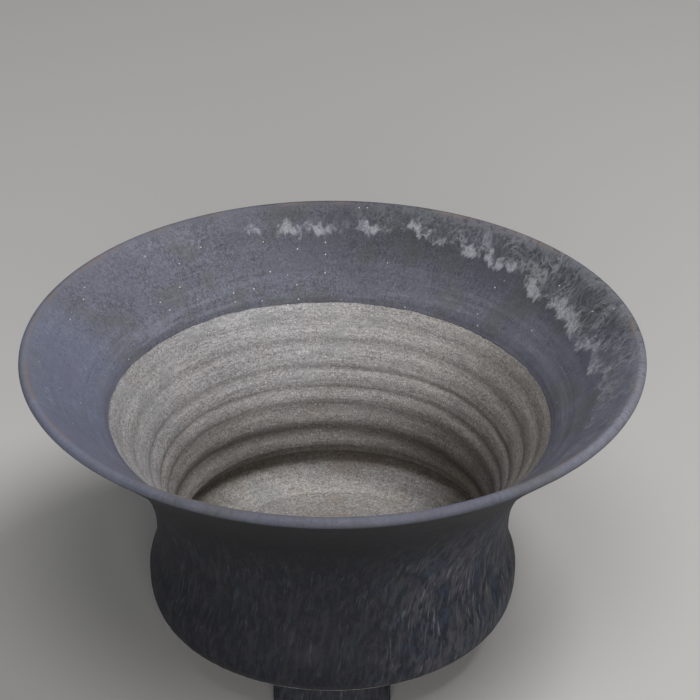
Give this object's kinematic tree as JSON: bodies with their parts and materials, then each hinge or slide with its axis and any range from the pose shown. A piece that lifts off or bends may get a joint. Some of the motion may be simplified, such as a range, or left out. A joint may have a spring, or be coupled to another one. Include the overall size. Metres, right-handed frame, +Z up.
{
  "type": "flower pot",
  "caption": "Round footed stoneware flower pot: wide trumpet rim, narrow neck, low bulged base and a central drain hole.",
  "frame": {"origin": "on the resting plane, under the middle of the pot", "axes": "+Z up along the pot's axis, -Y towards the front foot, foot_1"},
  "size_m": [0.26, 0.26, 0.14],
  "materials": {
    "dark_slip": "matte blue-black slip glaze with pale bloom",
    "bare_clay": "unglazed coarse warm-grey stoneware"
  },
  "bodies": {
    "root": {"flared_collar": "dark_slip", "seam_coil": "bare_clay", "body_drum": "dark_slip", "corner_coil": "bare_clay", "base_slab": "bare_clay", "foot_1": "dark_slip", "foot_2": "dark_slip", "foot_3": "dark_slip"}
  },
  "joints": []
}
